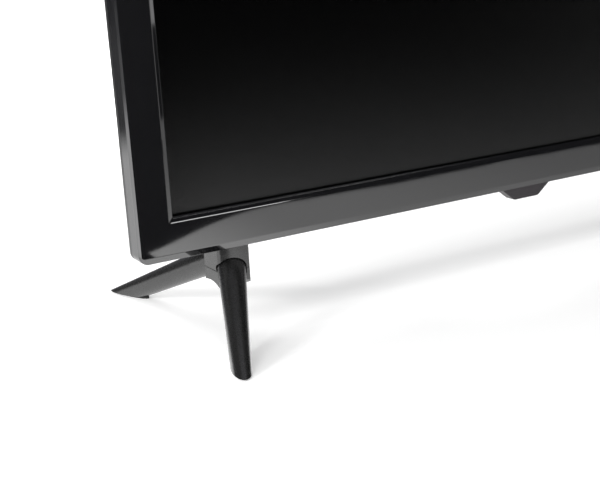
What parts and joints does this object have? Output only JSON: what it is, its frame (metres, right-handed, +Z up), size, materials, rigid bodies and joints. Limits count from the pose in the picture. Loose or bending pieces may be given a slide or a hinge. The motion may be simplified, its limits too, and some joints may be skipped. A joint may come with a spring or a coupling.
{
  "type": "flat screen television",
  "caption": "Flat screen television with a gloss black bezel, a receiver window under its lower edge, splayed V feet, rear keys and a socket recess.",
  "frame": {"origin": "on the floor, at the middle of the whole part's extents in X and Y", "axes": "+X to the right as seen from in front of the screen, +Y away from the viewer, +Z up"},
  "size_m": [0.566, 0.1916, 0.3895],
  "materials": {
    "gloss_black": "polished black moulding",
    "foot_gloss": "polished black moulding",
    "smoked_window": "smoked window that passes infrared light",
    "matte_black": "finely textured black moulding",
    "key_black": "satin black key",
    "screen_glass": "dark screen with a matt surface",
    "sheet_steel": "zinc plated sheet",
    "white_plastic": "white reflecting plastic",
    "optical_film": "milky film",
    "clear_acrylic": "clear plate with printed dots",
    "board_green": "green solder mask",
    "ribbon_white": "flat ribbon of insulated wires",
    "chip_black": "moulded package",
    "lamp_red": "tinted clear lamp",
    "sink_aluminium": "plain extrusion",
    "can_aluminium": "dark sleeve over an aluminium can",
    "ferrite": "dark ferrite with wound tape",
    "nickel": "bright nickel plate",
    "socket_black": "black insulating plastic",
    "lead_black": "insulated wire",
    "speaker_paper": "pressed paper cone",
    "brass": "turned brass insert",
    "screw_black": "blackened steel screw",
    "screw_steel": "zinc plated screw",
    "rubber_black": "soft black rubber"
  },
  "bodies": {
    "television": {"front_bezel": "gloss_black", "ir_window": "smoked_window", "ir_board": "board_green", "ir_receiver": "chip_black", "standby_lamp": "lamp_red", "panel_front_frame": "sheet_steel", "lcd_cell": "screen_glass", "panel_mid_frame": "white_plastic", "prism_sheet": "optical_film", "diffuser_sheet": "optical_film", "light_guide_plate": "clear_acrylic", "reflector_sheet": "white_plastic", "led_strip": "white_plastic", "panel_back_plate": "sheet_steel", "panel_driver_board": "board_green", "signal_ribbon": "ribbon_white", "main_board": "board_green", "main_chip": "chip_black", "small_chips": "chip_black", "heat_sinks": "sink_aluminium", "transformer": "ferrite", "capacitors": "can_aluminium", "tuner_can": "sheet_steel", "antenna_socket": "nickel", "hdmi_sockets": "nickel", "usb_socket": "nickel", "audio_jacks": "socket_black", "card_slot": "sheet_steel", "mains_inlet": "socket_black", "inlet_pins": "nickel", "socket_plate": "sheet_steel", "foot_brackets": "sheet_steel", "speaker_leads": "lead_black", "key_lead": "lead_black", "key_board": "board_green", "key_switches": "socket_black", "vesa_inserts": "brass", "rear_cover": "matte_black", "cover_screws": "screw_black", "machine_screws": "screw_steel", "foot_screws": "screw_black", "left_speaker_box": "matte_black", "left_speaker_driver": "sheet_steel", "left_speaker_cone": "speaker_paper", "left_foot_neck": "foot_gloss", "left_foot_legs": "foot_gloss", "left_foot_pads": "rubber_black", "right_speaker_box": "matte_black", "right_speaker_driver": "sheet_steel", "right_speaker_cone": "speaker_paper", "right_foot_neck": "foot_gloss", "right_foot_legs": "foot_gloss", "right_foot_pads": "rubber_black"},
    "key_power_cap": {"key_power": "key_black"},
    "key_source_cap": {"key_source": "key_black"},
    "key_menu_cap": {"key_menu": "key_black"},
    "key_channel_up_cap": {"key_channel_up": "key_black"},
    "key_channel_down_cap": {"key_channel_down": "key_black"},
    "key_volume_up_cap": {"key_volume_up": "key_black"},
    "key_volume_down_cap": {"key_volume_down": "key_black"}
  },
  "joints": [
    {"name": "key_power_press", "type": "slide", "parent": "television", "child": "key_power_cap", "axis": [0, -1, 0], "range_m": [0, 0.0008], "stiffness_N_per_m": 600},
    {"name": "key_source_press", "type": "slide", "parent": "television", "child": "key_source_cap", "axis": [0, -1, 0], "range_m": [0, 0.0008], "stiffness_N_per_m": 600},
    {"name": "key_menu_press", "type": "slide", "parent": "television", "child": "key_menu_cap", "axis": [0, -1, 0], "range_m": [0, 0.0008], "stiffness_N_per_m": 600},
    {"name": "key_channel_up_press", "type": "slide", "parent": "television", "child": "key_channel_up_cap", "axis": [0, -1, 0], "range_m": [0, 0.0008], "stiffness_N_per_m": 600},
    {"name": "key_channel_down_press", "type": "slide", "parent": "television", "child": "key_channel_down_cap", "axis": [0, -1, 0], "range_m": [0, 0.0008], "stiffness_N_per_m": 600},
    {"name": "key_volume_up_press", "type": "slide", "parent": "television", "child": "key_volume_up_cap", "axis": [0, -1, 0], "range_m": [0, 0.0008], "stiffness_N_per_m": 600},
    {"name": "key_volume_down_press", "type": "slide", "parent": "television", "child": "key_volume_down_cap", "axis": [0, -1, 0], "range_m": [0, 0.0008], "stiffness_N_per_m": 600}
  ]
}
